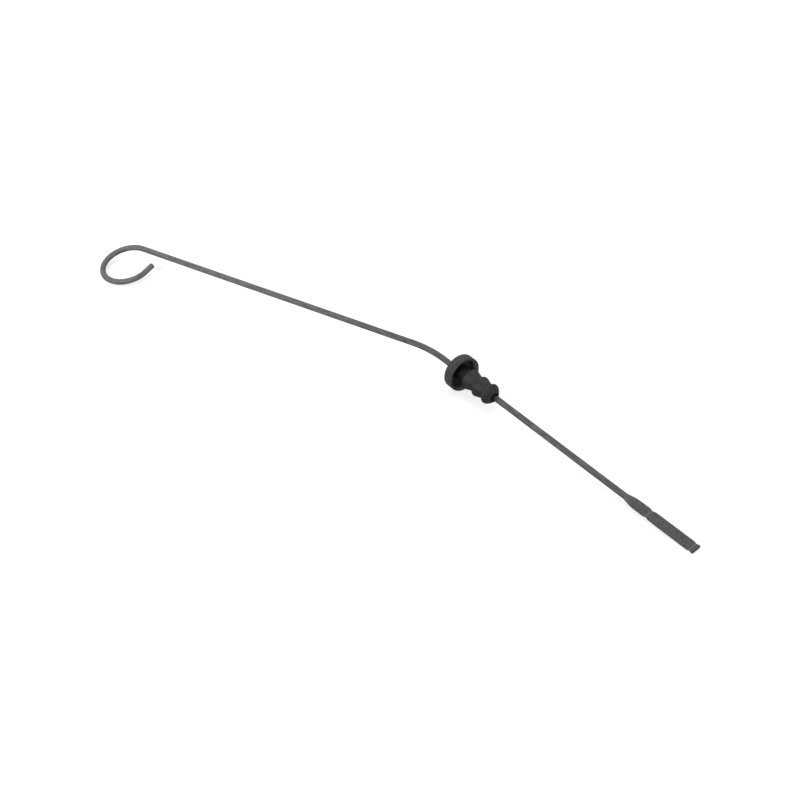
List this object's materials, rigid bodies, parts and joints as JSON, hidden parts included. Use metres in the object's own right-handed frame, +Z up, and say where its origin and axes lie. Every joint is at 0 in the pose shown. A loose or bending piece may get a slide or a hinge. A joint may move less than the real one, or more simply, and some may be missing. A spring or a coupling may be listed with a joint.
{
  "type": "engine oil dipstick",
  "caption": "Bent steel wire dipstick with a finger loop, a coined blade with two level marks and a rubber tube stopper.",
  "frame": {"origin": "middle of the bounding box, on the table that the dipstick lies on", "axes": "+Z up from the table, +X from the finger loop towards the tip of the blade, +Y towards the stopper's side"},
  "size_m": [0.4466, 0.0626, 0.0211],
  "materials": {
    "wire": "dull grey, bare drawn wire with a thin phosphate film",
    "rubber": "matt black moulded rubber"
  },
  "bodies": {
    "root": {"wire": "wire", "stopper": "rubber"}
  },
  "joints": []
}
